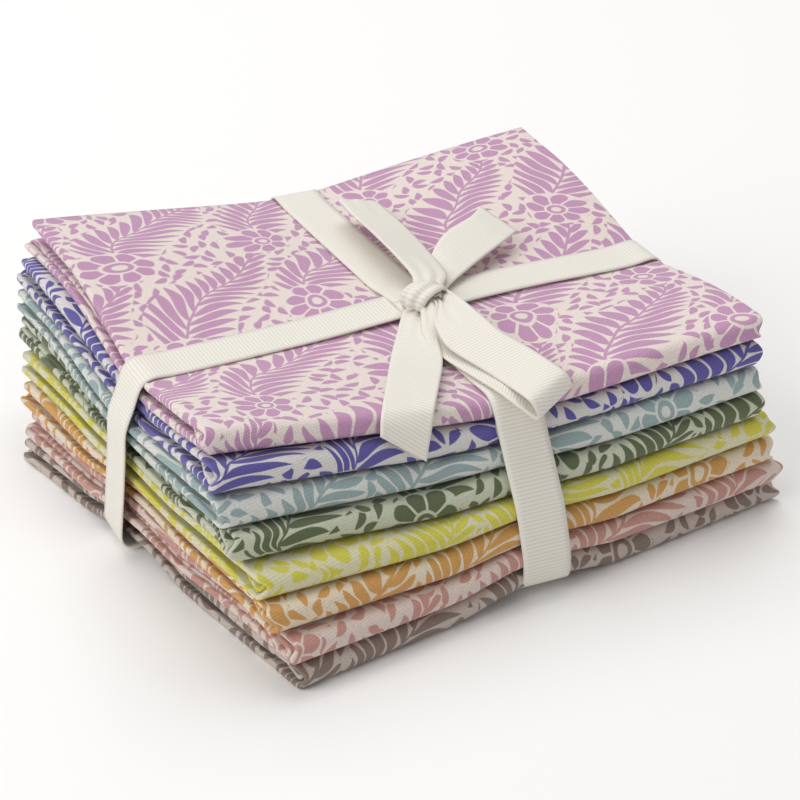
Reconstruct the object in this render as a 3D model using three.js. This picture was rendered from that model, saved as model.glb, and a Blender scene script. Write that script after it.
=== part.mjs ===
// A stack of eight folded fat quarters (quarter-yard cuts of quilting cotton), tied crosswise with one
// length of grosgrain ribbon that ends in a bow on top.
// Millimetres, +Z up. The long front folds face -Y, the folded ends face -X and +X, and the stack
// stands on Z = 0 with the middle of its outline at X = Y = 0.

import * as THREE from 'three';

// Folded size of one quarter. The cut measures 550 x 500 and is folded in four both ways.
const FOLDED_WIDTH = 140;
const FOLDED_DEPTH = 126;

// Each band of the fold section stands for four thicknesses of cotton lying together.
const BANDS = 4;
const BAND_THICKNESS = 1.27;
const BAND_GAP = 0.33;
const BAND_STEP = BAND_THICKNESS + BAND_GAP;
const QUARTER_HEIGHT = BANDS * BAND_STEP - BAND_GAP;
const QUARTER_GAP = 0.55;
const QUARTER_STEP = QUARTER_HEIGHT + QUARTER_GAP;

// The folded ends of the bands are rounded over this length and don't lie quite flush.
const END_ROUND = 0.7;
const END_ROUND_THICKNESS = 0.45;
const END_UNEVEN = 0.9;
const RAW_EDGE_INSET = 1.5;

// Top quarter first. turn is in degrees, counter-clockwise from above; right and back are shifts in
// millimetres; gape is how far the upper half stands open at the back left corner.
const QUARTERS = [
  { name: 'violet', colour: 0xdcbfd8, turn: 0, right: 0, back: 0, gape: 2.5 },
  { name: 'periwinkle', colour: 0x8580b4, turn: 2.0, right: -2.5, back: -2.3, gape: 0 },
  { name: 'aqua', colour: 0xb9c4c4, turn: 3.2, right: -3.5, back: -4.5, gape: 0 },
  { name: 'sage', colour: 0x86937b, turn: 4.2, right: -3.6, back: -7.0, gape: 0 },
  { name: 'yellow', colour: 0xdad78f, turn: 6.6, right: -3.4, back: -9.9, gape: 0 },
  { name: 'apricot', colour: 0xdfc09a, turn: 7.7, right: -3.8, back: -11.7, gape: 0 },
  { name: 'pink', colour: 0xd0aca6, turn: 9.6, right: -2.4, back: -13.5, gape: 0 },
  { name: 'taupe', colour: 0xa4968e, turn: 10.8, right: -1.4, back: -12.6, gape: 0 },
];
const STACK_HEIGHT = QUARTERS.length * QUARTER_STEP - QUARTER_GAP;

// The ribbon, and the two lines on which it goes round the stack. The lengthwise band runs along X and
// is a little aslant: y = LENGTHWISE_Y + LENGTHWISE_SLANT * x. The crosswise band runs along Y.
const RIBBON_COLOUR = 0xe8e3d6;
const RIBBON_WIDTH = 12;
const RIBBON_THICKNESS = 1;
const CLEARANCE = 0.45;
const LENGTHWISE_Y = -12.7;
const LENGTHWISE_SLANT = 0.065;
const CROSSWISE_X = 3.4;

// The ribbon presses the stack: the top sinks and the underside is drawn up, most under the ribbon.
const GROOVE_HALF = 6.5;
const TOP_PRESS = 6.5;
const TOP_REACH = { crosswise: 66, lengthwise: 46 };
const TOP_POWER = { crosswise: 1.15, lengthwise: 1.5 };
const FLOOR_LIFT = 3.1;
const FLOOR_REACH = 16;

// Lines across the quarter at which its surface may bend, as distances from the middle of the ribbon.
const GROOVE_EDGE = GROOVE_HALF + FLOOR_REACH;
const WIDTH_LINES = [-46, -GROOVE_EDGE, -GROOVE_HALF, GROOVE_HALF, GROOVE_EDGE, 46];
const DEPTH_LINES = [-GROOVE_EDGE, -GROOVE_HALF, GROOVE_HALF, GROOVE_EDGE, 46];
const GAPE_REACH = 75;

const TAUT_DIRECTIONS = 32;
const HUMP = { near: 7.5, far: 15 };

function lengthwiseY(x) {
  return LENGTHWISE_Y + LENGTHWISE_SLANT * x;
}

// 1 on the ribbon's line and within flat of it, falling to 0 over reach.
function fade(distance, reach, power) {
  const t = THREE.MathUtils.clamp((Math.abs(distance) - GROOVE_HALF) / reach, 0, 1);
  return (1 - t) ** power;
}

function eitherOf(a, b) {
  return 1 - (1 - a) * (1 - b);
}

// Height of a level of the loose stack after the ribbon is tied.
function pressedHeight(level, x, y) {
  const fromCrosswise = x - CROSSWISE_X;
  const fromLengthwise = y - lengthwiseY(x);
  const sink = eitherOf(
    fade(fromCrosswise, TOP_REACH.crosswise, TOP_POWER.crosswise),
    fade(fromLengthwise, TOP_REACH.lengthwise, TOP_POWER.lengthwise),
  );
  const lift = eitherOf(fade(fromCrosswise, FLOOR_REACH, 1), fade(fromLengthwise, FLOOR_REACH, 1));
  const top = STACK_HEIGHT - TOP_PRESS * sink;
  return THREE.MathUtils.lerp(FLOOR_LIFT * lift, top, level / STACK_HEIGHT);
}

// A quarter's place in the stack, with its ribbon lines as lines of its own flat frame: a runs along
// its width and b along its depth. A width line is a = at + slope * b, a depth line b = at + slope * a.
function placeOf(quarter, index) {
  const cos = Math.cos(THREE.MathUtils.degToRad(quarter.turn));
  const sin = Math.sin(THREE.MathUtils.degToRad(quarter.turn));
  const depthScale = cos + LENGTHWISE_SLANT * sin;
  return {
    level: (QUARTERS.length - 1 - index) * QUARTER_STEP,
    widthLine: (offset) => ({
      at: (CROSSWISE_X + offset - quarter.right) / cos,
      slope: sin / cos,
    }),
    depthLine: (offset) => ({
      at: (LENGTHWISE_Y + offset - quarter.back + LENGTHWISE_SLANT * quarter.right) / depthScale,
      slope: (LENGTHWISE_SLANT * cos - sin) / depthScale,
    }),
    onTable: (a, b) => [
      cos * a - sin * b + quarter.right,
      sin * a + cos * b + quarter.back,
    ],
  };
}

// The fold section, seen from the end of the long fold: one strip of cloth that starts at a raw edge at
// the back, turns round the inner front fold, the back fold and the outer front fold, and ends at the
// other raw edge on top. Each point has its depth line, its height, half the thickness of the cloth as
// a vector to the left of the way along the strip, and the band that it belongs to.
function foldSection(place) {
  const half = BAND_THICKNESS / 2;
  const bandHeight = (band) => half + band * BAND_STEP;
  const outerRadius = (bandHeight(3) - bandHeight(0)) / 2;
  const innerRadius = BAND_STEP / 2;
  const frontCentre = -FOLDED_DEPTH / 2 + outerRadius + half;
  const backCentre = FOLDED_DEPTH / 2 - innerRadius - half;
  const middle = QUARTER_HEIGHT / 2;
  const straight = (b) => ({ at: b, slope: 0 });
  const section = [];

  const run = (band, backEnd, backwards) => {
    const lines = [straight(frontCentre), ...DEPTH_LINES.map(place.depthLine), straight(backEnd)];
    const ordered = backwards ? lines : lines.reverse();
    const up = backwards ? half : -half;
    ordered.forEach((line) => section.push({ line, height: bandHeight(band), out: [0, up], band }));
  };
  const bend = (centre, height, radius, from, to, steps, bands) => {
    const outward = Math.sign(from - to) * half;
    for (let i = 1; i < steps; i += 1) {
      const angle = THREE.MathUtils.degToRad(THREE.MathUtils.lerp(from, to, i / steps));
      section.push({
        line: straight(centre + radius * Math.cos(angle)),
        height: height + radius * Math.sin(angle),
        out: [outward * Math.cos(angle), outward * Math.sin(angle)],
        band: THREE.MathUtils.lerp(bands[0], bands[1], i / steps),
      });
    }
  };

  run(2, FOLDED_DEPTH / 2 - 2 * RAW_EDGE_INSET, false);
  bend(frontCentre, middle, innerRadius, 90, 270, 4, [2, 1]);
  run(1, backCentre, true);
  bend(backCentre, bandHeight(0.5), innerRadius, 90, -90, 4, [1, 0]);
  run(0, backCentre, false);
  bend(frontCentre, middle, outerRadius, 270, 90, 6, [0, 3]);
  run(3, FOLDED_DEPTH / 2 - RAW_EDGE_INSET, true);
  return section;
}

// The stations along the width, from the left folded end to the right one.
function widthStations(place) {
  const end = FOLDED_WIDTH / 2;
  const inner = end - END_ROUND;
  return [
    { line: { at: -end, slope: 0 }, thick: END_ROUND_THICKNESS, side: 1 },
    { line: { at: -inner, slope: 0 }, thick: 1, side: 1 },
    ...WIDTH_LINES.map((offset) => ({ line: place.widthLine(offset), thick: 1, side: 0 })),
    { line: { at: inner, slope: 0 }, thick: 1, side: -1 },
    { line: { at: end, slope: 0 }, thick: END_ROUND_THICKNESS, side: -1 },
  ];
}

// How far a band's folded end lies in from the quarter's own width.
function endInset(index, band, side) {
  return side * END_UNEVEN * (1 + Math.sin(2.4 * index + 1.9 * band + side));
}

function gapeAt(quarter, band, a, b) {
  const fromCorner = Math.hypot(a + FOLDED_WIDTH / 2, b - FOLDED_DEPTH / 2);
  const upperHalf = THREE.MathUtils.clamp(band - 1, 0, 1);
  return quarter.gape * upperHalf * Math.max(0, 1 - fromCorner / GAPE_REACH) ** 2;
}

// One point of the cloth: the crossing of a width line and a depth line, moved out to one face of it.
function clothPoint(quarter, index, place, point, station, face) {
  const at = station.line.at + endInset(index, point.band, station.side);
  const crossing = (at + station.line.slope * point.line.at) / (1 - station.line.slope * point.line.slope);
  const depth = point.line.at + point.line.slope * crossing + face * point.out[0] * station.thick;
  const width = at + station.line.slope * depth;
  const height = point.height + face * point.out[1] * station.thick;
  const [x, y] = place.onTable(width, depth);
  const gape = gapeAt(quarter, point.band, width, depth);
  return new THREE.Vector3(x, y, pressedHeight(place.level + height, x, y) + gape);
}

function closedGeometry(points, triangles) {
  const geometry = new THREE.BufferGeometry();
  geometry.setAttribute('position', new THREE.Float32BufferAttribute(points.flatMap((p) => p.toArray()), 3));
  geometry.setIndex(triangles.flat());
  geometry.computeVertexNormals();
  return geometry;
}

// Joins rows of points into a closed skin. Each row is one outline, counter-clockwise seen from the end
// that the rows run to. rising(j) says which way the square after point j is parted, so that the
// neighbouring faces of two quarters bend along the same lines.
function skinOver(rows, capTriangles, rising, ring) {
  const size = rows[0].length;
  const triangles = [];
  const spans = ring ? rows.length : rows.length - 1;
  for (let i = 0; i < spans; i += 1) {
    const here = i * size;
    const next = ((i + 1) % rows.length) * size;
    for (let j = 0; j < size; j += 1) {
      const k = (j + 1) % size;
      if (rising(j, k)) {
        triangles.push([here + j, next + k, next + j], [here + j, here + k, next + k]);
      } else {
        triangles.push([here + j, here + k, next + j], [next + j, here + k, next + k]);
      }
    }
  }
  if (!ring) {
    const last = (rows.length - 1) * size;
    capTriangles.forEach(([a, b, c]) => {
      triangles.push([c, b, a], [last + a, last + b, last + c]);
    });
  }
  return closedGeometry(rows.flat(), triangles);
}

// Triangles that close the end of a strip whose outline goes up one face and back down the other.
function stripCap(outlineSize) {
  const triangles = [];
  for (let j = 0; j + 1 < outlineSize / 2; j += 1) {
    const opposite = outlineSize - 1 - j;
    triangles.push([j, j + 1, opposite - 1], [j, opposite - 1, opposite]);
  }
  return triangles;
}

// The folded cloth of one quarter, and its points by station, which the ribbon is drawn tight over.
function foldedQuarter(quarter, index) {
  const place = placeOf(quarter, index);
  const section = foldSection(place);
  const faces = [
    ...section.map((point) => ({ point, face: -1 })),
    ...section.map((point) => ({ point, face: 1 })).reverse(),
  ];
  const rows = widthStations(place).map((station) => (
    faces.map(({ point, face }) => clothPoint(quarter, index, place, point, station, face))
  ));
  const depthOf = ({ point, face }) => point.line.at + face * point.out[0];
  const rising = (j, k) => depthOf(faces[k]) > depthOf(faces[j]);
  return { geometry: skinOver(rows, stripCap(faces.length), rising, false), rows };
}

// The way of a taut band edge: in each direction round the stack, the point that reaches furthest.
// points are [along, z] pairs. hump, where given, lifts the band over the other one at the crossing.
function tautEdge(points, hump) {
  const edge = [];
  const quarterTurn = TAUT_DIRECTIONS / 4;
  for (let k = 0; k < TAUT_DIRECTIONS; k += 1) {
    const angle = (k / TAUT_DIRECTIONS) * 2 * Math.PI;
    const out = [Math.cos(angle), Math.sin(angle)];
    const reach = (p) => p[0] * out[0] + p[1] * out[1];
    const furthest = points.reduce((best, p) => (reach(p) > reach(best) ? p : best));
    const upright = k === quarterTurn || k === 3 * quarterTurn;
    if (!upright) {
      edge.push({ at: furthest, out });
    } else if (hump) {
      const up = Math.sign(out[1]);
      const humpRise = up * (RIBBON_THICKNESS + CLEARANCE);
      [[HUMP.far, 0], [HUMP.near, humpRise], [-HUMP.near, humpRise], [-HUMP.far, 0]].forEach(([far, rise]) => {
        edge.push({ at: [hump.at + up * far, furthest[1] + rise], out: [0, up] });
      });
    }
  }
  return edge;
}

// A closed band of ribbon, drawn tight over points. toSpace turns a place on its way and an offset
// across it into a point.
function bandRound(points, hump, toSpace) {
  const half = RIBBON_WIDTH / 2;
  const rows = tautEdge(points, hump).map(({ at, out }) => {
    const moved = (gap, offset) => toSpace(at[0] + out[0] * gap, at[1] + out[1] * gap, offset);
    return [
      moved(CLEARANCE, -half),
      moved(CLEARANCE, half),
      moved(CLEARANCE + RIBBON_THICKNESS, half),
      moved(CLEARANCE + RIBBON_THICKNESS, -half),
    ];
  });
  return skinOver(rows, [], () => true, true);
}

// The points of all quarters beside the crosswise band, as [y, z], and beside the lengthwise one, as
// [x, z].
function besideCrosswise(quarters) {
  const firstLine = 2;
  const stations = [-GROOVE_HALF, GROOVE_HALF].map((offset) => firstLine + WIDTH_LINES.indexOf(offset));
  return quarters.flatMap(({ rows }) => stations.flatMap((i) => rows[i].map((p) => [p.y, p.z])));
}

function besideLengthwise(quarters) {
  const near = (p) => Math.abs(p.y - lengthwiseY(p.x)) < GROOVE_HALF + 1;
  return quarters.flatMap(({ rows }) => rows.flat().filter(near).map((p) => [p.x, p.z]));
}

// The bow, as strips of ribbon. The knot sits a little before and left of the crossing. heading is the
// way each strip leaves the knot, in degrees from +X. A row is one section: out along the heading, left
// of it, up above the pressed cloth, the ribbon's width there and tilt, which raises the left edge, in
// degrees. cut is how much longer the left edge is.
const KNOT = { right: -0.5, back: -6.2, radius: [4.5, 4.3, 2.2], up: 5.45 };
const BOW = [
  {
    name: 'ribbon_tail_front',
    heading: -120.3,
    cut: 6,
    rows: [
      { out: 5.4, left: 0, up: 3.9, width: 7.5, tilt: 0 },
      { out: 16, left: 0, up: 2.7, width: 11, tilt: 0 },
      { out: 27, left: 0, up: 1.9, width: 12, tilt: 0 },
      { out: 46, left: 0, up: 3.2, width: 12, tilt: -3 },
      { out: 53, left: 0, up: 2.2, width: 12, tilt: -16 },
      { out: 56.6, left: 0, up: -2.8, width: 12, tilt: -30 },
    ],
  },
  {
    name: 'ribbon_tail_side',
    heading: 41,
    cut: 3,
    rows: [
      { out: 5.4, left: 0.5, up: 4.1, width: 7, tilt: 0 },
      { out: 13, left: 1, up: 4, width: 7.5, tilt: 0 },
      { out: 19, left: 1, up: 3.8, width: 8.5, tilt: 0 },
      { out: 25, left: 1.6, up: 4.4, width: 10.5, tilt: 6 },
      { out: 32, left: 1.6, up: 5.4, width: 12, tilt: 14 },
      { out: 39.5, left: 0.7, up: 6.2, width: 12, tilt: 15 },
      { out: 45.9, left: 0, up: 6.6, width: 12, tilt: 15 },
    ],
  },
  {
    name: 'ribbon_loop_back',
    heading: 82,
    cut: 0,
    rows: [
      { out: 5.4, left: -1.5, up: 7.7, width: 7, tilt: 3 },
      { out: 11.7, left: -4, up: 7.8, width: 10, tilt: 10 },
      { out: 23, left: -3.4, up: 7.7, width: 12, tilt: 15 },
      { out: 37, left: -1.9, up: 7.2, width: 12, tilt: 14 },
      { out: 53, left: -0.5, up: 6.8, width: 12, tilt: 11 },
      { out: 58.3, left: 0, up: 5.6, width: 11, tilt: 10 },
      { out: 53, left: -0.5, up: 4.4, width: 12, tilt: 10 },
      { out: 37, left: -1.9, up: 4.8, width: 12, tilt: 11 },
      { out: 23, left: -3.5, up: 6, width: 12, tilt: 6 },
      { out: 11.7, left: -4, up: 6.4, width: 10, tilt: 3 },
      { out: 5.4, left: -1.5, up: 6.1, width: 7, tilt: 0 },
    ],
  },
  {
    name: 'ribbon_loop_front',
    heading: -80.5,
    cut: 0,
    rows: [
      { out: 5.4, left: 0, up: 7.0, width: 6.5, tilt: 0 },
      { out: 10.1, left: -0.5, up: 7.1, width: 10, tilt: 8 },
      { out: 18.4, left: -2.3, up: 6.4, width: 12, tilt: 11 },
      { out: 34.8, left: -1.4, up: 5.3, width: 12, tilt: 13 },
      { out: 47, left: -1.1, up: 4.6, width: 12, tilt: 9 },
      { out: 51, left: 0, up: 1.7, width: 12, tilt: 9 },
      { out: 46.5, left: -1.9, up: 1.3, width: 12, tilt: 6 },
      { out: 40.8, left: -3, up: 3.1, width: 12, tilt: 2 },
      { out: 24.1, left: -3.7, up: 3.8, width: 12, tilt: 3 },
      { out: 12, left: -3, up: 4.7, width: 10, tilt: 3 },
      { out: 5.4, left: 0, up: 5.3, width: 6.5, tilt: 0 },
    ],
  },
];
const SECTIONS_PER_ROW = 3;

// A strip of ribbon through the sections of one bow piece.
function bowStrip(piece, knotFoot) {
  const heading = THREE.MathUtils.degToRad(piece.heading);
  const along = new THREE.Vector3(Math.cos(heading), Math.sin(heading), 0);
  const leftward = new THREE.Vector3(-along.y, along.x, 0);
  const middle = new THREE.CatmullRomCurve3(
    piece.rows.map((row) => knotFoot.clone()
      .addScaledVector(along, row.out)
      .addScaledVector(leftward, row.left)
      .setZ(knotFoot.z + row.up)),
    false,
    'centripetal',
  );
  const steps = (piece.rows.length - 1) * SECTIONS_PER_ROW;
  const sections = [];
  for (let i = 0; i <= steps; i += 1) {
    const t = i / steps;
    const rowAt = Math.min(t * (piece.rows.length - 1), piece.rows.length - 1.001);
    const row = piece.rows[Math.floor(rowAt)];
    const nextRow = piece.rows[Math.floor(rowAt) + 1];
    const half = THREE.MathUtils.lerp(row.width, nextRow.width, rowAt % 1) / 2;
    const tilt = THREE.MathUtils.degToRad(THREE.MathUtils.lerp(row.tilt, nextRow.tilt, rowAt % 1));
    const tangent = middle.getTangent(t);
    const left = leftward.clone().multiplyScalar(Math.cos(tilt)).setZ(Math.sin(tilt));
    left.addScaledVector(tangent, -left.dot(tangent)).normalize();
    const thickness = tangent.clone().cross(left).setLength(RIBBON_THICKNESS / 2);
    const slide = tangent.clone().multiplyScalar((piece.cut / 2) * t ** steps);
    const centre = middle.getPoint(t);
    const leftEdge = centre.clone().addScaledVector(left, half).add(slide);
    const rightEdge = centre.clone().addScaledVector(left, -half).sub(slide);
    sections.push([
      leftEdge.clone().add(thickness),
      rightEdge.clone().add(thickness),
      rightEdge.clone().sub(thickness),
      leftEdge.clone().sub(thickness),
    ]);
  }
  return skinOver(sections, stripCap(4), () => true, false);
}

function knotGeometry(knotFoot) {
  const geometry = new THREE.SphereGeometry(1, 16, 10);
  geometry.deleteAttribute('uv');
  geometry.scale(...KNOT.radius);
  geometry.translate(knotFoot.x, knotFoot.y, knotFoot.z + KNOT.up);
  return geometry;
}

function namedMesh(name, geometry, colour, roughness) {
  const material = new THREE.MeshStandardMaterial({ color: colour, roughness, metalness: 0 });
  const mesh = new THREE.Mesh(geometry, material);
  mesh.name = name;
  return mesh;
}

const group = new THREE.Group();
const COTTON_ROUGHNESS = 0.85;
const RIBBON_ROUGHNESS = 0.6;

const folded = QUARTERS.map(foldedQuarter);
folded.forEach(({ geometry }, i) => {
  const { name, colour } = QUARTERS[i];
  group.add(namedMesh(`fat_quarter_${name}`, geometry, colour, COTTON_ROUGHNESS));
});

const crossing = new THREE.Vector3(CROSSWISE_X, lengthwiseY(CROSSWISE_X), STACK_HEIGHT - TOP_PRESS);
const lengthwiseBand = bandRound(
  besideLengthwise(folded),
  null,
  (x, z, offset) => new THREE.Vector3(x, lengthwiseY(x) - offset, z),
);
const crosswiseBand = bandRound(
  besideCrosswise(folded),
  { at: crossing.y },
  (y, z, offset) => new THREE.Vector3(CROSSWISE_X + offset, y, z),
);
group.add(namedMesh('ribbon_lengthwise_band', lengthwiseBand, RIBBON_COLOUR, RIBBON_ROUGHNESS));
group.add(namedMesh('ribbon_crosswise_band', crosswiseBand, RIBBON_COLOUR, RIBBON_ROUGHNESS));
const knotFoot = crossing.clone().add(new THREE.Vector3(KNOT.right, KNOT.back, 0));
group.add(namedMesh('ribbon_knot', knotGeometry(knotFoot), RIBBON_COLOUR, RIBBON_ROUGHNESS));
BOW.forEach((piece) => {
  group.add(namedMesh(piece.name, bowStrip(piece, knotFoot), RIBBON_COLOUR, RIBBON_ROUGHNESS));
});

// The middle of the outline goes to X = Y = 0.
const outline = new THREE.Box3().setFromObject(group);
const outlineMiddle = outline.getCenter(new THREE.Vector3());
group.position.set(-outlineMiddle.x, -outlineMiddle.y, 0);
group.updateMatrixWorld(true);

export default group;
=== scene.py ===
import math

import bmesh
import bpy
import numpy as np
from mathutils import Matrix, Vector


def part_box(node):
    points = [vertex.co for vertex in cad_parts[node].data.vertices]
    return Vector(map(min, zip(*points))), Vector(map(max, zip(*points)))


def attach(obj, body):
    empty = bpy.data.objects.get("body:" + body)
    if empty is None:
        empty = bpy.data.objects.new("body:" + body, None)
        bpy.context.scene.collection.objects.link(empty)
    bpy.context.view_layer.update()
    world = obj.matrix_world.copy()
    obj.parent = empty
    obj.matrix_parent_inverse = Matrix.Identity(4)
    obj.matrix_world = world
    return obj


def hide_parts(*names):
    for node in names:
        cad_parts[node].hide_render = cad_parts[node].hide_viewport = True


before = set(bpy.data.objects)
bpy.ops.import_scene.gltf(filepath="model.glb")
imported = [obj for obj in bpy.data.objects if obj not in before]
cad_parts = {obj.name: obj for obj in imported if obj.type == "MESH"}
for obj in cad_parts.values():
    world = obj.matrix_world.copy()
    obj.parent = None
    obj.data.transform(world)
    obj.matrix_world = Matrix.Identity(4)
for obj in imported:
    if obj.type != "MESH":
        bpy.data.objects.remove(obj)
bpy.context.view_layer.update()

# The fat quarters. Each is one cut of plain woven quilting cotton with raw edges, printed in one colour
# on a pale ground. It is folded in four across its width, then in four along its length, so that a
# smooth fold faces the front and sixteen layers lie on each other. They are piled a little fanned.
MM = 0.001
CUT_WIDTH = 550 * MM
CUT_LENGTH = 500 * MM
FOLDED_WIDTH = 140 * MM
FOLDED_DEPTH = 126 * MM
COTTON_THICKNESS = 0.28 * MM
LAYER_STEP = 0.33 * MM
BAND_GAP = 0.33 * MM
QUARTER_GAP = 0.55 * MM
BAND_THICKNESS = 3 * LAYER_STEP + COTTON_THICKNESS
BAND_STEP = BAND_THICKNESS + BAND_GAP
QUARTER_HEIGHT = 4 * BAND_STEP - BAND_GAP
QUARTER_STEP = QUARTER_HEIGHT + QUARTER_GAP

# Top quarter first: turn in degrees, right and back in mm, then at the back left corner how far the
# upper half gapes and how far the lower half juts out, in mm, the printed colour, the ground, and where
# in the print the cut starts, in the print's own units.
QUARTER_COLUMNS = ("name", "turn", "right", "back", "gape", "jut", "ink", "ground", "start")
QUARTERS = [dict(zip(QUARTER_COLUMNS, row)) for row in (
    ("violet", 0, 0, 0, 2.5, 3.0, "C394B6", "E9DCD4", (0, 0)),
    ("periwinkle", 2.0, -2.5, -2.3, 0, 0.9, "5F589F", "DAD6D4", (31, 12)),
    ("aqua", 3.2, -3.5, -4.5, 0, 0.9, "97ABAB", "D8D9D3", (12, 57)),
    ("sage", 4.2, -3.8, -7.0, 0, 1.2, "616B4D", "C8CBB5", (74, 33)),
    ("yellow", 6.6, -2.7, -9.9, 0, 0.2, "D2CB50", "DAD5B2", (5, 80)),
    ("apricot", 7.7, -3.1, -11.7, 0, 1.5, "D09C59", "E4D5BE", (50, 20)),
    ("pink", 9.6, -2.9, -13.5, 0, 1.6, "C39186", "DDCBC1", (90, 66)),
    ("taupe", 10.8, -1.8, -12.6, 0, 0.9, "8A796F", "C8BAB0", (22, 41)),
)]
STACK_HEIGHT = len(QUARTERS) * QUARTER_STEP - QUARTER_GAP

# Where the ribbon presses the stack, in the top quarter's own frame.
LENGTHWISE_Y = -12.7 * MM
LENGTHWISE_SLANT = 0.065
CROSSWISE_X = 3.4 * MM
CROSSWISE_SLANT = -0.015
GROOVE_HALF = 6 * MM
TOP_PRESS = 6.5 * MM
CROSSWISE_PRESS_REACH = 66 * MM
LENGTHWISE_PRESS_REACH = 46 * MM
FLOOR_LIFT = 3.1 * MM
FLOOR_REACH = 16 * MM
GAPE_REACH = 75 * MM
# the folds at the left end swell over this length, and the inner bands lie back from it. Both begin this
# far behind the front fold, and grow over the next stretch.
NOSE_LENGTH = 3.2 * MM
NOSE_SWELL = 1.0 * MM
INNER_SET_BACK = 2.8 * MM
NOSE_START = 5 * MM
NOSE_GROWTH = 9 * MM
# how far the folded ends stand in and out, and how far the outline wanders each way
END_UNEVENNESS = 0.9 * MM
END_WAVE = 0.3 * MM
WANDER_ACROSS = 0.35 * MM
WANDER_ALONG = 0.45 * MM
# places along each run of a folded section; the top quarter shows most
STEPS = 29
TOP_STEPS = 45
# corners where the loose cloth springs up or hangs: right, back and rise
SPRUNG_CORNERS = (
    (70 * MM, 63 * MM, 2.0 * MM), (-70 * MM, -63 * MM, 2.4 * MM), (-70 * MM, 63 * MM, -2.2 * MM))
CORNER_REACH = 80 * MM

violet_low, violet_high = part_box("fat_quarter_violet")
stack_middle = (violet_low + violet_high) / 2


def lengthwise_y(x):
    return LENGTHWISE_Y + LENGTHWISE_SLANT * x


def crosswise_x(y):
    return CROSSWISE_X + CROSSWISE_SLANT * y


def fade(distance, reach, power):
    """1 in the ribbon's groove, falling softly to 0 over reach."""
    t = np.clip((np.abs(distance) - GROOVE_HALF) / reach, 0, 1)
    return (1 - t * t / (t + 0.04) * 1.04) ** power


def hump_at(distance, reach):
    """1 at no distance, falling softly to 0 at reach."""
    t = np.clip(1 - np.abs(distance) / reach, 0, 1)
    return t * t * (3 - 2 * t)


def pressed_height(level, x, y):
    """Height of a level of the loose stack once the ribbon is tied round it."""
    across = x - crosswise_x(y)
    along = y - lengthwise_y(x)
    sink_across = fade(across, CROSSWISE_PRESS_REACH, 1.15)
    sink_along = fade(along, LENGTHWISE_PRESS_REACH, 1.5)
    sink = 1 - (1 - sink_across) * (1 - sink_along)
    lift = 1 - (1 - fade(across, FLOOR_REACH, 1)) * (1 - fade(along, FLOOR_REACH, 1))
    bottom = FLOOR_LIFT * lift
    spring = (level / STACK_HEIGHT) ** 2 * sum(
        rise * np.clip(1 - np.hypot(x - corner_x, y - corner_y) / CORNER_REACH, 0, 1) ** 2
        for corner_x, corner_y, rise in SPRUNG_CORNERS)
    return bottom + (STACK_HEIGHT - TOP_PRESS * sink - bottom) * level / STACK_HEIGHT + spring


def slack(level, x, y):
    """The cloth's own unevenness: layers lie a little closer in one place than in another."""
    rise = np.clip(level / (8 * MM), 0, 1)
    first = np.sin(x / (13 * MM) + y / (21 * MM) + level / (1.9 * MM))
    second = np.sin(x / (24 * MM) - y / (9.5 * MM) - level / (2.6 * MM) + 2)
    return rise * (0.16 * MM * first + 0.22 * MM * second)


def folded_line(stretches):
    """Points of a folded line, as positions and heights, with its left-hand normals and its lengths."""
    points = []
    for kind, *sizes, steps in stretches:
        share = np.linspace(0, 1, steps, endpoint=False)
        if kind == "run":
            start, end, height = sizes
            points += [(start + (end - start) * s, height) for s in share]
        else:
            centre, height, radius, squareness, start, end = sizes
            for angle in np.radians(start + (end - start) * share):
                cos, sin = math.cos(angle), math.sin(angle)
                points.append((
                    centre + radius * math.copysign(abs(cos) ** squareness, cos),
                    height + radius * math.copysign(abs(sin) ** squareness, sin),
                ))
    points = np.array(points)
    way = np.gradient(points, axis=0)
    way /= np.linalg.norm(way, axis=1)[:, None]
    lengths = np.concatenate([[0], np.cumsum(np.linalg.norm(np.diff(points, axis=0), axis=1))])
    return points, np.stack([-way[:, 1], way[:, 0]], axis=1), lengths / lengths[-1]


def across_fold(steps):
    """The fold in four across the width: the layer next to the outside wraps the inner pair."""
    left = -FOLDED_WIDTH / 2 + 1.5 * LAYER_STEP + COTTON_THICKNESS / 2
    right = FOLDED_WIDTH / 2 - 0.5 * LAYER_STEP - COTTON_THICKNESS / 2
    # the raw edges end a little short of the fold
    raw = right - 0.9 * MM
    close = left + NOSE_LENGTH
    return folded_line([
        ("run", raw, close, -0.5 * LAYER_STEP, steps),
        ("run", close, left, -0.5 * LAYER_STEP, 4),
        ("bend", left, 0, 0.5 * LAYER_STEP, 1, 270, 90, 5),
        ("run", left, close, 0.5 * LAYER_STEP, 4),
        ("run", close, right, 0.5 * LAYER_STEP, steps),
        ("bend", right, LAYER_STEP, 0.5 * LAYER_STEP, 1, -90, 90, 5),
        ("run", right, close, 1.5 * LAYER_STEP, steps),
        ("run", close, left, 1.5 * LAYER_STEP, 4),
        ("bend", left, 0, 1.5 * LAYER_STEP, 1, 90, 270, 10),
        ("run", left, close, -1.5 * LAYER_STEP, 4),
        ("run", close, raw + 0.5 * MM, -1.5 * LAYER_STEP, steps),
        ("run", raw + 0.5 * MM, raw + 0.6 * MM, -1.5 * LAYER_STEP, 1),
    ])


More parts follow.
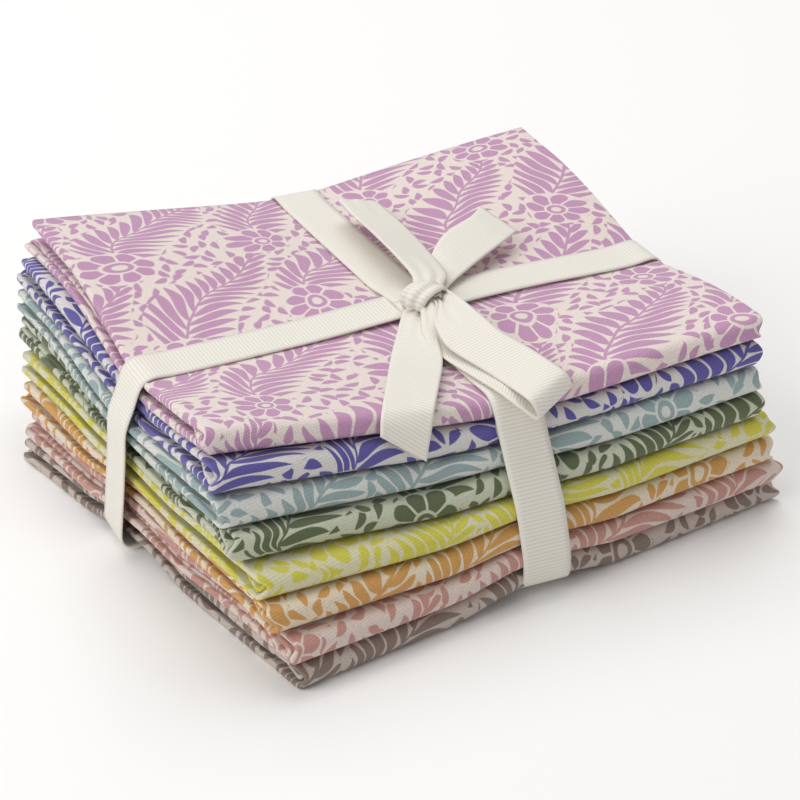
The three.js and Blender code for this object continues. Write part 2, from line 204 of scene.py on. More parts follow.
def along_fold(steps):
    """The fold in four along the length, from the raw edge inside to the raw edge on top."""
    half = BAND_THICKNESS / 2
    inner = BAND_STEP / 2
    outer = 1.5 * BAND_STEP
    front = -FOLDED_DEPTH / 2 + outer + half
    back = FOLDED_DEPTH / 2 - inner - half
    height = [half + band * BAND_STEP for band in range(4)]
    middle = QUARTER_HEIGHT / 2
    raw = FOLDED_DEPTH / 2 - 1.5 * MM
    return folded_line([
        ("run", raw - 1.5 * MM, front, height[2], steps),
        ("bend", front, middle, inner, 1, 90, 270, 8),
        ("run", front, back, height[1], steps),
        ("bend", back, height[0] + inner, inner, 1, 90, -90, 8),
        ("run", back, front, height[0], steps),
        ("bend", front, middle, outer, 0.86, 270, 90, 22),
        ("run", front, raw, height[3], steps),
        ("run", raw, raw + 0.1 * MM, height[3], 1),
    ])


def add(tree, kind, inputs=None, **settings):
    """Adds a node with its settings; an input takes a value or another node's output."""
    node = tree.nodes.new(kind)
    for name, value in settings.items():
        setattr(node, name, value)
    for name, value in (inputs or {}).items():
        if isinstance(value, bpy.types.NodeSocket):
            tree.links.new(value, node.inputs[name])
        else:
            node.inputs[name].default_value = value
    return node


def linear(hex_colour):
    """An sRGB hex colour as linear red, green, blue and alpha."""
    parts = [int(hex_colour[i:i + 2], 16) / 255 for i in (0, 2, 4)]
    return [p / 12.92 if p <= 0.04045 else ((p + 0.055) / 1.055) ** 2.4 for p in parts] + [1]


# The print: rows of leafy fronds in a half drop, with an open eight-petalled flower at the foot of each
# and loose single leaves between them. Its sizes are in units of its own, of which PRINT_SCALE go to a
# metre of flat cloth, so that one is 0.77 mm.
PRINT_SCALE = 1300
FROND_PITCH = 33
FROND_LENGTH = 78
FROND_SWING = 4.5
FROND_REACH = 15
LEAF_PITCH = FROND_LENGTH / 16
LEAF_HALF_WIDTH = 2.35
LEAF_SLANT = 1.2
FLOWER_RADIUS = 10.5
PETALS = 8
LOOSE_LEAF_CELL = 5.2
EDGE = 0.16
TAU = 2 * math.pi
# Each row is a result, a Math operation and its operands, which are numbers or earlier results.
PRINT_STEPS = (
    # the frond's own frame: which row of fronds, how far along it, how far from its stem
    ("row", "DIVIDE", "p", FROND_PITCH),
    ("row_number", "FLOOR", "row"),
    ("row_share", "SUBTRACT", "row", "row_number"),
    ("from_row", "SUBTRACT", "row_share", 0.5),
    ("from_row_mm", "MULTIPLY", "from_row", FROND_PITCH),
    ("drop", "MODULO", "row_number", 2),
    ("drop_size", "ABSOLUTE", "drop"),
    ("dropped", "MULTIPLY_ADD", "drop_size", FROND_LENGTH / 2, "q"),
    ("turns", "DIVIDE", "dropped", FROND_LENGTH),
    ("turn_angle", "MULTIPLY", "turns", TAU),
    ("swing", "SINE", "turn_angle"),
    ("stem", "MULTIPLY", "swing", FROND_SWING),
    ("from_stem", "SUBTRACT", "from_row_mm", "stem"),
    ("side", "SIGN", "from_stem"),
    ("out", "ABSOLUTE", "from_stem"),
    ("share", "FRACT", "turns"),
    # the frond is broad in its lower third and tapers to its tip
    ("share_eased", "POWER", "share", 0.62),
    ("share_angle", "MULTIPLY", "share_eased", math.pi),
    ("fullness", "SINE", "share_angle"),
    ("reach", "MULTIPLY_ADD", "fullness", FROND_REACH, 0.4),
    ("out_share", "DIVIDE", "out", "reach"),
    # single leaves of the frond: slanted, a little hooked, staggered on the two sides
    ("hook", "MULTIPLY", "out", "out"),
    ("hooked", "MULTIPLY_ADD", "hook", 0.028, "dropped"),
    ("slanted", "MULTIPLY_ADD", "out", -LEAF_SLANT, "hooked"),
    ("staggered", "MULTIPLY_ADD", "side", LEAF_PITCH / 4, "slanted"),
    ("leaf_turns", "DIVIDE", "staggered", LEAF_PITCH),
    ("leaf_share", "FRACT", "leaf_turns"),
    ("leaf_off", "SUBTRACT", "leaf_share", 0.5),
    ("leaf_away", "ABSOLUTE", "leaf_off"),
    ("leaf_away_mm", "MULTIPLY", "leaf_away", LEAF_PITCH),
    ("tip_share", "MINIMUM", "out_share", 1),
    ("tip_eased", "POWER", "tip_share", 0.7),
    ("tip_angle", "MULTIPLY", "tip_eased", math.pi),
    ("leaf_fullness", "SINE", "tip_angle"),
    ("leaf_round", "POWER", "leaf_fullness", 0.7),
    ("leaf_half", "MULTIPLY_ADD", "leaf_round", LEAF_HALF_WIDTH, -0.25),
    ("leaf_depth", "SUBTRACT", "leaf_half", "leaf_away_mm"),
    ("stem_depth", "SUBTRACT", 0.45, "out"),
    ("frond_depth", "MAXIMUM", "leaf_depth", "stem_depth"),
    # the flower at the foot of the frond
    ("flower_share", "ADD", "share", 0.5),
    ("flower_turn", "FRACT", "flower_share"),
    ("flower_off", "SUBTRACT", "flower_turn", 0.5),
    ("flower_y", "MULTIPLY", "flower_off", FROND_LENGTH),
    ("flower_angle", "ARCTAN2", "flower_y", "from_row_mm"),
    ("flower_xx", "MULTIPLY", "from_row_mm", "from_row_mm"),
    ("flower_rr", "MULTIPLY_ADD", "flower_y", "flower_y", "flower_xx"),
    ("flower_r", "SQRT", "flower_rr"),
    ("petal_angle", "MULTIPLY", "flower_angle", PETALS / 2),
    ("petal_cos", "COSINE", "petal_angle"),
    ("petal_size", "ABSOLUTE", "petal_cos"),
    ("petal_round", "POWER", "petal_size", 0.6),
    ("petal_end", "MULTIPLY_ADD", "petal_round", 0.36 * FLOWER_RADIUS, 0.64 * FLOWER_RADIUS),
    ("petal_depth", "SUBTRACT", "petal_end", "flower_r"),
    ("seam_away", "MULTIPLY", "petal_size", "flower_r"),
    ("seam_depth", "SUBTRACT", "seam_away", 1.5),
    ("eye_away", "SUBTRACT", "flower_r", 4.2),
    ("petal_inner", "MINIMUM", "seam_depth", "eye_away"),
    ("petals_depth", "MINIMUM", "petal_depth", "petal_inner"),
    ("ring_away", "SUBTRACT", "flower_r", 2.5),
    ("ring_size", "ABSOLUTE", "ring_away"),
    ("ring_depth", "SUBTRACT", 0.75, "ring_size"),
    ("flower_depth", "MAXIMUM", "petals_depth", "ring_depth"),
    ("clear_of_flower", "SUBTRACT", "flower_r", FLOWER_RADIUS + 0.7),
    ("frond_kept", "MINIMUM", "frond_depth", "clear_of_flower"),
    ("main_depth", "MAXIMUM", "frond_kept", "flower_depth"),
    # loose leaves, one in each cell of a scatter, clear of the fronds and flowers
    ("loose_turn", "MULTIPLY", "cell_random", TAU),
    ("loose_cos", "COSINE", "loose_turn"),
    ("loose_sin", "SINE", "loose_turn"),
    ("loose_a1", "MULTIPLY", "cell_x", "loose_cos"),
    ("loose_a", "MULTIPLY_ADD", "cell_y", "loose_sin", "loose_a1"),
    ("loose_b1", "MULTIPLY", "cell_y", "loose_cos"),
    ("loose_b2", "MULTIPLY", "cell_x", "loose_sin"),
    ("loose_b", "SUBTRACT", "loose_b1", "loose_b2"),
    ("loose_bend", "MULTIPLY", "loose_a", "loose_a"),
    ("loose_bent", "MULTIPLY_ADD", "loose_bend", 0.09, "loose_b"),
    ("loose_off", "ABSOLUTE", "loose_bent"),
    ("loose_long", "MULTIPLY", "loose_bend", -0.14),
    ("loose_half", "ADD", "loose_long", 1.3),
    ("loose_depth", "SUBTRACT", "loose_half", "loose_off"),
    ("past_frond", "SUBTRACT", "out", "reach"),
    ("past_frond_clear", "SUBTRACT", "past_frond", 0.2),
    ("past_both", "MINIMUM", "past_frond_clear", "clear_of_flower"),
    ("loose_kept", "MINIMUM", "loose_depth", "past_both"),
    ("depth", "MAXIMUM", "main_depth", "loose_kept"),
)
PRINT_ANGLE = math.radians(-35)
# the rows of fronds wander by up to half of this, over about this distance
PRINT_WANDER = 17
WANDER_PITCH = 38
THREAD_PITCH = 0.5
SWELL = 0.35


def printed_cotton(name, ink, ground, start):
    """Plain woven cotton printed in one colour. It is matt, with a faint bloom of loose fibre, and its
    threads lie 0.38 mm apart, about as in real quilting cotton."""
    material = bpy.data.materials.new("printed_quilting_cotton_" + name)
    material.use_nodes = True
    tree = material.node_tree
    tree.nodes.clear()
    flat = add(tree, "ShaderNodeUVMap", uv_map="flat_cloth")
    placed = add(tree, "ShaderNodeMapping", {
        "Vector": flat.outputs["UV"],
        "Location": (start[0], start[1], 0),
        "Rotation": (0, 0, PRINT_ANGLE),
        "Scale": (PRINT_SCALE, PRINT_SCALE, PRINT_SCALE),
    })
    wander = add(tree, "ShaderNodeTexNoise", {
        "Vector": placed.outputs["Vector"], "Scale": 1 / WANDER_PITCH, "Detail": 1.0,
    }, noise_dimensions="2D")
    centred = add(tree, "ShaderNodeVectorMath", {
        0: wander.outputs["Color"], 1: (0.5, 0.5, 0.5),
    }, operation="SUBTRACT")
    shifted = add(tree, "ShaderNodeVectorMath", {
        0: centred.outputs[0], 1: (PRINT_WANDER, PRINT_WANDER, 0), 2: placed.outputs["Vector"],
    }, operation="MULTIPLY_ADD")
    split = add(tree, "ShaderNodeSeparateXYZ", {0: shifted.outputs[0]})
    cells = add(tree, "ShaderNodeTexVoronoi", {
        "Vector": placed.outputs["Vector"], "Scale": 1 / LOOSE_LEAF_CELL, "Randomness": 0.6,
    }, voronoi_dimensions="2D")
    in_cell = add(tree, "ShaderNodeVectorMath", {
        0: placed.outputs["Vector"], 1: cells.outputs["Position"],
    }, operation="SUBTRACT")
    cell_split = add(tree, "ShaderNodeSeparateXYZ", {0: in_cell.outputs[0]})
    cell_colour = add(tree, "ShaderNodeSeparateColor", {0: cells.outputs["Color"]})
    found = {
        "p": split.outputs[0], "q": split.outputs[1],
        "cell_x": cell_split.outputs[0], "cell_y": cell_split.outputs[1],
        "cell_random": cell_colour.outputs[0],
    }
    for result, operation, *operands in PRINT_STEPS:
        values = {i: found[o] if isinstance(o, str) else o for i, o in enumerate(operands)}
        found[result] = add(tree, "ShaderNodeMath", values, operation=operation).outputs[0]
    printed = add(tree, "ShaderNodeMapRange", {
        "Value": found["depth"], "From Min": -EDGE, "From Max": EDGE,
    })
    # threads
    thread = add(tree, "ShaderNodeVectorMath", {
        0: placed.outputs["Vector"], 1: (TAU / THREAD_PITCH / 2, TAU / THREAD_PITCH / 2, 0),
    }, operation="MULTIPLY")
    thread_wave = add(tree, "ShaderNodeVectorMath", {0: thread.outputs[0]}, operation="SINE")
    thread_split = add(tree, "ShaderNodeSeparateXYZ", {0: thread_wave.outputs[0]})
    weave = add(tree, "ShaderNodeMath", {
        0: thread_split.outputs[0], 1: thread_split.outputs[1],
    }, operation="MULTIPLY")
    slub = add(tree, "ShaderNodeTexNoise", {
        "Vector": placed.outputs["Vector"], "Scale": 1.4, "Detail": 2.0,
    }, noise_dimensions="2D")
    height = add(tree, "ShaderNodeMath", {
        0: weave.outputs[0], 1: SWELL, 2: slub.outputs[0],
    }, operation="MULTIPLY_ADD")
    colour = add(tree, "ShaderNodeMix", {
        "Factor": printed.outputs[0], "A": linear(ground), "B": linear(ink),
    }, data_type="RGBA")
    # painted shade and highlight: the weave's height darkens the colour in the hollows between threads and
    # lightens it on their crowns, and the slub noise in it varies the tone at random
    painted_weave_shading_and_random_tone = add(tree, "ShaderNodeMapRange", {
        "Value": height.outputs[0], "From Min": 0.2, "From Max": 0.9, "To Min": 0.86, "To Max": 1.08,
    })
    shade = add(tree, "ShaderNodeMix", {
        "Factor": 1.0, "A": colour.outputs["Result"], "B": painted_weave_shading_and_random_tone.outputs[0],
    }, data_type="RGBA", blend_type="MULTIPLY")
    bump = add(tree, "ShaderNodeBump", {
        "Height": height.outputs[0], "Strength": 0.35, "Distance": 0.12 * MM,
    })
    surface = add(tree, "ShaderNodeBsdfPrincipled", {
        "Base Color": shade.outputs["Result"], "Roughness": 0.88, "Specular IOR Level": 0.25,
        "Sheen Weight": 0.18, "Sheen Roughness": 0.55, "Normal": bump.outputs[0],
    })
    add(tree, "ShaderNodeOutputMaterial", {"Surface": surface.outputs[0]})
    return material


def cloth_from_grid(name, columns, rows, place, flat, material):
    """A sheet made from a grid of columns by rows points. place and flat give each point's position and
    its place on the flat cloth, as arrays of columns by rows."""
    mesh = bpy.data.meshes.new(name)
    bm = bmesh.new()
    bmesh.ops.create_grid(bm, x_segments=columns - 1, y_segments=rows - 1, size=0.5)
    bm.to_mesh(mesh)
    bm.free()
    points = np.empty(columns * rows * 3)
    mesh.vertices.foreach_get("co", points)
    points = points.reshape(-1, 3)
    column = np.rint((points[:, 0] + 0.5) * (columns - 1)).astype(int)
    row = np.rint((points[:, 1] + 0.5) * (rows - 1)).astype(int)
    mesh.vertices.foreach_set("co", place[column, row].ravel())
    corner_points = np.empty(len(mesh.loops), dtype=int)
    mesh.loops.foreach_get("vertex_index", corner_points)
    layer = mesh.uv_layers.new(name="flat_cloth")
    layer.data.foreach_set("uv", flat[column, row][corner_points].ravel())
    mesh.polygons.foreach_set("use_smooth", np.ones(len(mesh.polygons), dtype=bool))
    mesh.update()
    piece = bpy.data.objects.new(name, mesh)
    bpy.context.scene.collection.objects.link(piece)
    piece.data.materials.append(material)
    return piece


def thickened(piece, thickness):
    solidify = piece.modifiers.new("thickness", "SOLIDIFY")
    solidify.thickness = thickness
    solidify.offset = 0


quarter_points = []
for index, quarter in enumerate(QUARTERS):
    steps = TOP_STEPS if index == 0 else STEPS
    across, _, across_share = across_fold(steps)
    along, normals, along_share = along_fold(steps)
    width = across[:, 0][:, None]
    layer = across[:, 1][:, None]
    band = (along[:, 1] - BAND_THICKNESS / 2) / BAND_STEP
    # at the left end the lowest and the top band end in full round folds that swell toward each other,
    # and the two bands inside lie a little back
    outer_band = np.clip(np.abs(band - 1.5) - 0.5, 0, 1)
    behind_front = np.clip((along[:, 0] + FOLDED_DEPTH / 2 - NOSE_START) / NOSE_GROWTH, 0, 1)
    nose = hump_at(np.clip(width + FOLDED_WIDTH / 2, 0, None), NOSE_LENGTH)
    inward = (1.5 * LAYER_STEP - layer) / (3 * LAYER_STEP)
    layer = layer - NOSE_SWELL * inward * nose * outer_band * behind_front
    depth = along[:, 0] + normals[:, 0] * layer
    height = along[:, 1] + normals[:, 1] * layer
    at_left = np.clip(-2 * width / FOLDED_WIDTH, 0, 1) ** 3
    width = width + INNER_SET_BACK * at_left * (1 - outer_band) * behind_front
    # the folded ends of the bands don't lie flush, nor are they quite straight
    to_side = width * 2 / FOLDED_WIDTH
    for side in (1, -1):
        near = np.clip(-side * to_side, 0, 1) ** 2
        uneven = END_UNEVENNESS * (1 + np.sin(2.4 * index + 1.9 * band + side))
        wavy = END_WAVE * np.sin(depth / (17 * MM) + 1.7 * index + 2.3 * band)
        width = width + side * near * (uneven + wavy)
    # the lower half juts out toward the back left corner
    toward_back = np.clip(0.5 + depth / FOLDED_DEPTH, 0, 1)
    width = width - quarter["jut"] * MM * at_left * np.clip(2 - band, 0, 1) * toward_back
    # the upper half of the top quarter stands open at its back left corner
    from_corner = np.hypot(width + FOLDED_WIDTH / 2, depth - FOLDED_DEPTH / 2)
    upper_half = np.clip(band - 1, 0, 1)
    gape = quarter["gape"] * MM * upper_half * np.clip(1 - from_corner / GAPE_REACH, 0, 1) ** 2
    # and the whole quarter's outline wanders a little
    wander_x = WANDER_ACROSS * np.sin(depth / (23 * MM) + 2.9 * index)
    wander_y = WANDER_ALONG * np.sin(width / (27 * MM) + 1.3 * index)
    turn = math.radians(quarter["turn"])
    x = math.cos(turn) * (width + wander_x) - math.sin(turn) * (depth + wander_y) + quarter["right"] * MM
    y = math.sin(turn) * (width + wander_x) + math.cos(turn) * (depth + wander_y) + quarter["back"] * MM
    level = (len(QUARTERS) - 1 - index) * QUARTER_STEP + height
    z = pressed_height(level + slack(level, x, y), x, y) + gape
    place = np.stack([x + stack_middle.x, y + stack_middle.y, z], axis=-1)
    flat = np.stack(np.broadcast_arrays(
        across_share[:, None] * CUT_WIDTH, along_share * CUT_LENGTH), axis=-1)
    name = "cotton_" + quarter["name"]
    material = printed_cotton(quarter["name"], quarter["ink"], quarter["ground"], quarter["start"])
    piece = cloth_from_grid(name, *place.shape[:2], place, flat, material)
    thickened(piece, COTTON_THICKNESS)
    quarter_points.append(place.reshape(-1, 3))
    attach(piece, "root")
    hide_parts("fat_quarter_" + quarter["name"])

# The ribbon. It is one length of cream polyester grosgrain, 12 mm wide, with fine ribs across it and a
# flat selvedge along each edge. It goes round the stack both ways and is tied over the crossing. The
# lengthwise turn lies on the cloth, and the crosswise turn passes over it.
RIBBON_WIDTH = 12 * MM
RIBBON_THICKNESS = 0.4 * MM
RIBBON_REST = 0.1 * MM
RIB_PITCH = 0.9 * MM
SELVEDGE = 0.6 * MM
# near the knot the bow pulls the lengthwise turn up, and the crosswise turn goes over it
LENGTHWISE_HUMP = 0.9 * MM
LENGTHWISE_HUMP_REACH = 34 * MM
CROSSWISE_HUMP = 1.65 * MM
CROSSWISE_HUMP_REACH = 16 * MM
# how far each turn wanders sideways from the top of the stack to its foot
LENGTHWISE_WANDER = 5.4 * MM
CROSSWISE_WANDER = 2.0 * MM
# right of the crossing the lengthwise turn bows back: how far, where, and over what reach
LENGTHWISE_BOW = 1.8 * MM
LENGTHWISE_BOW_RIGHT = 28 * MM
LENGTHWISE_BOW_REACH = 32 * MM
# cloth this near the middle of a turn carries it
CARRYING_HALF = RIBBON_WIDTH / 2 + 0.5 * MM
TURN_SPACING = 0.9 * MM
crossing = Vector((
    crosswise_x(LENGTHWISE_Y), lengthwise_y(crosswise_x(LENGTHWISE_Y)), STACK_HEIGHT - TOP_PRESS))


def lengthwise_way(x, z):
    """The lengthwise turn's y: it wanders back down the left end of the stack, and right of the crossing
    it bows back a little."""
    down = np.clip(1 - z / crossing.z, 0, 1)
    bow = LENGTHWISE_BOW * hump_at(x - crossing.x - LENGTHWISE_BOW_RIGHT, LENGTHWISE_BOW_REACH) * (1 - down)
    return lengthwise_y(x) + LENGTHWISE_WANDER * down * (0.5 - x / FOLDED_WIDTH) + bow


def crosswise_way(y, z):
    """The crosswise turn's x: it wanders a little to the right down the front of the stack."""
    return crosswise_x(y) + CROSSWISE_WANDER * np.clip(1 - z / crossing.z, 0, 1) * (0.5 - y / FOLDED_DEPTH)


def grosgrain():
    """Cream grosgrain: thick filling threads show as ribs with a soft sheen, partly a painted highlight on
    each crest, and painted shade in the furrow between them. The selvedges are plain."""
    material = bpy.data.materials.new("cream_grosgrain_ribbon")
    material.use_nodes = True
    tree = material.node_tree
    tree.nodes.clear()
    flat = add(tree, "ShaderNodeUVMap", uv_map="flat_cloth")
    split = add(tree, "ShaderNodeSeparateXYZ", {0: flat.outputs["UV"]})
    rib_angle = add(tree, "ShaderNodeMath", {
        0: split.outputs[0], 1: math.pi / RIB_PITCH}, operation="MULTIPLY")
    rib_wave = add(tree, "ShaderNodeMath", {0: rib_angle.outputs[0]}, operation="SINE")
    rib = add(tree, "ShaderNodeMath", {0: rib_wave.outputs[0]}, operation="ABSOLUTE")
    edge_away = add(tree, "ShaderNodeMath", {0: split.outputs[1]}, operation="ABSOLUTE")
    inside = add(tree, "ShaderNodeMapRange", {
        "Value": edge_away.outputs[0], "From Min": RIBBON_WIDTH / 2 - SELVEDGE,
        "From Max": RIBBON_WIDTH / 2 - SELVEDGE - 0.15 * MM})
    ribbed = add(tree, "ShaderNodeMix", {
        "Factor": inside.outputs[0], "A": 0.75, "B": rib.outputs[0]}, data_type="FLOAT")
    thread = add(tree, "ShaderNodeTexNoise", {
        "Vector": flat.outputs["UV"], "Scale": 2400, "Detail": 1.0}, noise_dimensions="2D")
    height = add(tree, "ShaderNodeMath", {
        0: thread.outputs[0], 1: 0.25, 2: ribbed.outputs["Result"]}, operation="MULTIPLY_ADD")
    # painted highlight and shade: the cream is lighter on the rib crests and darker in the furrows, and the
    # thread noise in the height varies it at random
    painted_weave_shading_and_random_tone = add(tree, "ShaderNodeMapRange", {
        "Value": height.outputs[0], "From Min": 0.1, "From Max": 1.1, "To Min": 0.0, "To Max": 1.0})
    colour = add(tree, "ShaderNodeMix", {
        "Factor": painted_weave_shading_and_random_tone.outputs[0], "A": linear("DDD6C8"), "B": linear("EFEBE1")}, data_type="RGBA")
    bump = add(tree, "ShaderNodeBump", {
        "Height": height.outputs[0], "Strength": 0.45, "Distance": 0.1 * MM})
    surface = add(tree, "ShaderNodeBsdfPrincipled", {
        "Base Color": colour.outputs["Result"], "Roughness": 0.55, "Specular IOR Level": 0.35,
        "Sheen Weight": 0.25, "Sheen Roughness": 0.4, "Normal": bump.outputs[0]})
    add(tree, "ShaderNodeOutputMaterial", {"Surface": surface.outputs[0]})
    return material


def taut_round(points, clearance):
    """The way of a taut band round points in its own plane, as evenly spaced places: the furthest point
    in each direction, moved out by the clearance and eased round the corners."""
    angles = np.linspace(0, TAU, 720, endpoint=False)
    directions = np.stack([np.cos(angles), np.sin(angles)], axis=1)
    furthest = points[np.argmax(directions @ points.T, axis=1)]
    corners = furthest + directions * clearance
    corners = np.vstack([corners, corners[:1]])
    lengths = np.concatenate([[0], np.cumsum(np.linalg.norm(np.diff(corners, axis=0), axis=1))])
    even = np.linspace(0, lengths[-1], int(lengths[-1] / TURN_SPACING))
    way = np.stack([np.interp(even, lengths, corners[:, k]) for k in (0, 1)], axis=1)[:-1]
    # a stiff ribbon rounds its corners, and stands off a little on both sides of one
    eased = way
    for _ in range(8):
        eased = (np.roll(eased, 1, axis=0) + 2 * eased + np.roll(eased, -1, axis=0)) / 4
    stand_off = np.linalg.norm(eased - way, axis=1)
    stand_off = np.max([np.roll(stand_off, k) for k in range(-4, 5)], axis=0)
    for _ in range(12):
        stand_off = (np.roll(stand_off, 1) + 2 * stand_off + np.roll(stand_off, -1)) / 4
    onward = np.roll(eased, -1, axis=0) - np.roll(eased, 1, axis=0)
    onward /= np.linalg.norm(onward, axis=1)[:, None]
    outward = np.stack([onward[:, 1], -onward[:, 0]], axis=1)
    return eased + outward * stand_off[:, None]


def started_at(way, start):
    """The same closed way, begun and ended on top of the stack at start, with its lengths."""
    on_top = np.where(way[:, 1] > way[:, 1].mean())[0]
    first = on_top[np.argmin(np.abs(way[on_top, 0] - start))]
    way = np.vstack([np.roll(way, -first, axis=0), way[first]])
    return way, np.concatenate([[0], np.cumsum(np.linalg.norm(np.diff(way, axis=0), axis=1))])


ribbon_material = grosgrain()
across_offsets = np.linspace(-RIBBON_WIDTH / 2, RIBBON_WIDTH / 2, 9)
stack_points = np.concatenate(quarter_points) - np.array([stack_middle.x, stack_middle.y, 0])
gap_to_cloth = COTTON_THICKNESS / 2 + RIBBON_REST + RIBBON_THICKNESS / 2


def ribbon_piece(name, place, flat):
    piece = cloth_from_grid(
        name.replace("ribbon", "grosgrain"), *place.shape[:2], place, flat, ribbon_material)
    thickened(piece, RIBBON_THICKNESS)
    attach(piece, "root")
    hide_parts(name)
    return piece


# the lengthwise turn
from_middle = np.abs(stack_points[:, 1] - lengthwise_way(stack_points[:, 0], stack_points[:, 2]))
under = from_middle < CARRYING_HALF
way, lengths = started_at(taut_round(stack_points[under][:, [0, 2]], gap_to_cloth), CROSSWISE_X)
on_top = way[:, 1] > STACK_HEIGHT / 2
way[:, 1] += on_top * LENGTHWISE_HUMP * hump_at(way[:, 0] - crossing.x, LENGTHWISE_HUMP_REACH)
x = way[:, 0][:, None] + 0 * across_offsets
z = way[:, 1][:, None] + 0 * across_offsets
y = lengthwise_way(x, z) + across_offsets
place = np.stack([x + stack_middle.x, y + stack_middle.y, z], axis=-1)
flat = np.stack(np.broadcast_arrays(lengths[:, None], across_offsets), axis=-1)
ribbon_piece("ribbon_lengthwise_band", place, flat)

# the crosswise turn
from_middle = np.abs(stack_points[:, 0] - crosswise_way(stack_points[:, 1], stack_points[:, 2]))
under = from_middle < CARRYING_HALF
way, lengths = started_at(taut_round(stack_points[under][:, [1, 2]], gap_to_cloth), crossing.y)
on_top = way[:, 1] > STACK_HEIGHT / 2
hump = CROSSWISE_HUMP * hump_at(way[:, 0] - crossing.y, CROSSWISE_HUMP_REACH)
way[:, 1] += np.where(on_top, hump, -0.5 * hump)
y = way[:, 0][:, None] + 0 * across_offsets
z = way[:, 1][:, None] + 0 * across_offsets
x = crosswise_way(y, z) - across_offsets
place = np.stack([x + stack_middle.x, y + stack_middle.y, z], axis=-1)
flat = np.stack(np.broadcast_arrays(lengths[:, None], across_offsets), axis=-1)
ribbon_piece("ribbon_crosswise_band", place, flat)

# The bow, of the same length of ribbon. Two loops and two slant-cut tails leave the knot, and the knot
# is a turn of gathered ribbon round them. Each row is one section of a strip, as the places of its two
# edges from the crossing, in mm. Where a section is narrower than the ribbon it is arched or pleated.
BOW = {
    "ribbon_tail_front": (
        ((-1.5, -4.0, 3.3), (2.4, -8.0, 3.3)),
        ((-6.2, -6.2, 2.7), (-2.4, -15.0, 2.9)),
        ((-12.5, -15.5, 1.7), (-5.6, -24.5, 2.1)),
        ((-18.7, -25.6, 1.4), (-8.9, -32.8, 1.7)),
        ((-29.3, -45.0, 3.0), (-18.4, -49.2, 2.6)),
        ((-32.6, -51.0, 2.4), (-21.4, -53.6, -0.6)),
        ((-34.0, -53.9, -0.5), (-24.0, -56.0, -8.0)),
    ),
    "ribbon_tail_side": (
        ((-1.0, -4.5, 3.4), (2.5, -8.5, 3.4)),
        ((4.5, 4.5, 3.6), (5.8, -3.5, 3.0)),
        ((9.8, 13.4, 4.1), (9.6, 1.8, 2.6)),
        ((15.2, 19.4, 6.0), (15.6, 6.2, 3.0)),
        ((20.0, 22.6, 7.0), (24.0, 11.2, 3.9)),
        ((26.8, 25.4, 7.8), (31.0, 14.9, 4.7)),
        ((31.6, 29.2, 8.3), (36.6, 18.5, 5.0)),
    ),
    "ribbon_loop_back": (
        ((-3.0, -7.5, 5.0), (2.6, -8.0, 5.0)),
        ((-1.4, -1.5, 5.9), (6.2, -2.0, 5.2)),
        ((0.6, 4.6, 6.4), (10.2, 5.0, 4.4)),
        ((0.6, 14.4, 7.6), (11.6, 17.5, 4.6)),
        ((0.8, 28.6, 7.8), (12.2, 32.0, 5.0)),
        ((1.1, 40.6, 7.3), (12.3, 43.0, 4.9)),
        ((1.9, 50.0, 6.9), (12.4, 49.4, 4.7)),
        ((2.5, 52.2, 6.2), (12.8, 51.2, 4.1)),
        ((2.9, 51.6, 5.3), (13.0, 50.6, 3.3)),
        ((3.0, 47.0, 5.0), (12.9, 47.0, 3.1)),
        ((3.0, 40.0, 5.4), (13.2, 41.6, 3.4)),
        ((3.0, 28.0, 5.7), (13.6, 31.0, 3.4)),
        ((2.8, 14.0, 5.2), (12.4, 16.5, 3.2)),
        ((2.0, 4.6, 4.6), (9.6, 4.4, 3.0)),
        ((-1.0, -2.0, 4.4), (5.0, -2.4, 4.0)),
        ((-2.6, -7.5, 4.2), (2.4, -8.0, 4.2)),
    ),
    "ribbon_loop_front": (
        ((-2.4, -4.5, 5.2), (3.0, -2.6, 5.4)),
        ((0.2, -9.8, 5.6), (4.9, -6.2, 6.2)),
        ((-4.0, -18.0, 5.2), (5.3, -14.6, 6.8)),
        ((-5.6, -25.4, 4.0), (6.1, -23.9, 6.4)),
        ((-5.0, -30.5, 3.0), (6.7, -31.5, 6.0)),
        ((-1.9, -41.2, 2.2), (9.6, -40.4, 5.2)),
        ((-0.3, -49.8, 2.1), (11.0, -46.3, 4.8)),
        ((0.3, -56.0, 2.3), (12.2, -50.4, 4.2)),
        ((1.0, -58.0, 1.4), (12.9, -51.8, 3.4)),
        ((1.9, -59.2, -1.2), (13.8, -52.6, 1.0)),
        ((1.3, -58.6, -1.9), (13.3, -52.0, 0.4)),
        ((-1.0, -55.0, -0.2), (11.4, -49.0, 1.1)),
        ((-3.2, -49.5, 1.4), (9.2, -44.5, 1.7)),
        ((-4.6, -42.1, 1.3), (7.2, -38.8, 2.2)),
        ((-6.8, -31.2, 1.3), (5.2, -30.2, 2.6)),
        ((-7.6, -25.2, 1.4), (4.2, -22.6, 3.0)),
        ((-7.0, -18.2, 2.4), (2.8, -15.6, 3.6)),
        ((-3.4, -9.5, 3.4), (2.8, -7.4, 4.2)),
        ((-2.6, -4.5, 3.8), (2.4, -3.0, 4.2)),
    ),
    "ribbon_knot": (
        ((-4.9, -3.0, 3.0), (-2.3, -8.0, 3.0)),
        ((-5.9, -3.2, 4.6), (-2.5, -9.4, 4.4)),
        ((-5.0, -2.9, 6.2), (-1.4, -9.5, 6.0)),
        ((-2.8, -2.2, 7.0), (1.0, -8.7, 6.9)),
        ((-0.3, -1.1, 6.9), (3.5, -7.4, 6.8)),
        ((1.4, -0.3, 5.4), (4.8, -6.2, 5.5)),
        ((1.6, -0.4, 3.6), (4.2, -5.6, 3.8)),
    ),
}
# sections this far apart, in mm, are drawn between the rows. Of the width that a section lacks, these
# shares go into its arch and into its pleats.
SECTION_SPACING = 0.8
ARCH_SHARE = 0.22
PLEAT_SHARE = 0.07
PLEATS = 2.5
# the whole bow is raised by this, over the turns it is tied on
BOW_LIFT = 0.4 * MM


